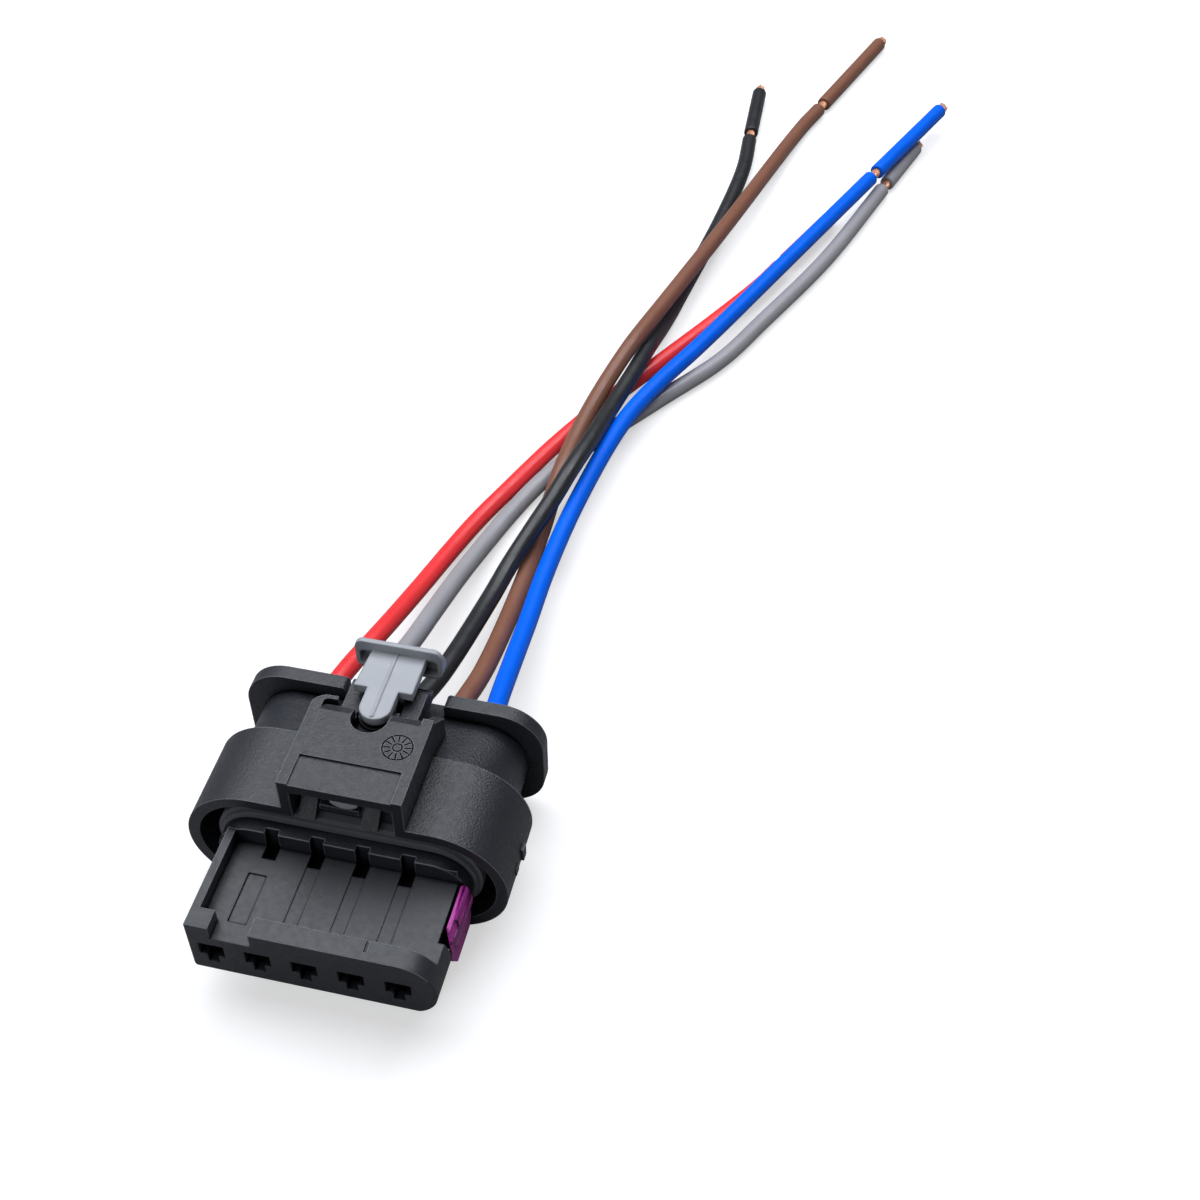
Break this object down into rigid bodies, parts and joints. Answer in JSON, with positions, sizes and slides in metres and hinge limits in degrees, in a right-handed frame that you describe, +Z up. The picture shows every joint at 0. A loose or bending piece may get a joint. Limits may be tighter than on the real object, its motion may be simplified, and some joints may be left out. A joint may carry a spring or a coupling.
{
  "type": "automotive wire connector with pigtail",
  "caption": "Sealed black plug connector with an oval shroud, keyed nose, rocking latch, grey sliding lock, purple cross lock and short loose wires, for flat blade contacts.",
  "frame": {"origin": "on the mating axis, in the plane of the shroud's rim, midway along the row of contacts", "axes": "+X along the row of contacts, -Y towards the mating side, +Z up through the latch"},
  "size_m": [0.0666, 0.2149, 0.0212],
  "materials": {
    "black_plastic": "moulded, fine leather grain outside, satin on the nose",
    "grey_plastic": "satin moulded",
    "purple_plastic": "satin moulded",
    "grey_silicone": "soft silicone, smooth",
    "dark_silicone": "soft silicone, smooth",
    "tin_plate": "bright tin plate",
    "insulation_red": "soft PVC, satin",
    "insulation_grey": "soft PVC, satin",
    "insulation_black": "soft PVC, satin",
    "insulation_brown": "soft PVC, satin",
    "insulation_blue": "soft PVC, satin",
    "copper": "bright drawn copper strands"
  },
  "bodies": {
    "housing": {"housing": "black_plastic", "interface_seal": "grey_silicone", "wire_seal_1": "dark_silicone", "wire_seal_2": "dark_silicone", "wire_seal_3": "dark_silicone", "wire_seal_4": "dark_silicone", "wire_seal_5": "dark_silicone", "terminal_1": "tin_plate", "terminal_2": "tin_plate", "terminal_3": "tin_plate", "terminal_4": "tin_plate", "terminal_5": "tin_plate", "wire_red": "insulation_red", "wire_grey": "insulation_grey", "wire_black": "insulation_black", "wire_brown": "insulation_brown", "wire_blue": "insulation_blue", "core_red": "copper", "core_grey": "copper", "core_black": "copper", "core_brown": "copper", "core_blue": "copper", "sleeve_red": "insulation_red", "sleeve_grey": "insulation_grey", "sleeve_black": "insulation_black", "sleeve_brown": "insulation_brown", "sleeve_blue": "insulation_blue"},
    "latch": {"latch_arm": "black_plastic"},
    "position_lock": {"position_lock": "grey_plastic"},
    "terminal_lock": {"terminal_lock": "purple_plastic"}
  },
  "joints": [
    {"name": "latch_press", "type": "hinge", "parent": "housing", "child": "latch", "pos_m": [0.00045, 0.007, 0.0082], "axis": [-1, 0, 0], "range_deg": [0, 7], "stiffness_Nm_per_rad": 0.2},
    {"name": "position_lock_slide", "type": "slide", "parent": "latch", "child": "position_lock", "axis": [0, -1, 0], "range_m": [0, 0.002]},
    {"name": "terminal_lock_slide", "type": "slide", "parent": "housing", "child": "terminal_lock", "axis": [1, 0, 0], "range_m": [0, 0.002]}
  ]
}
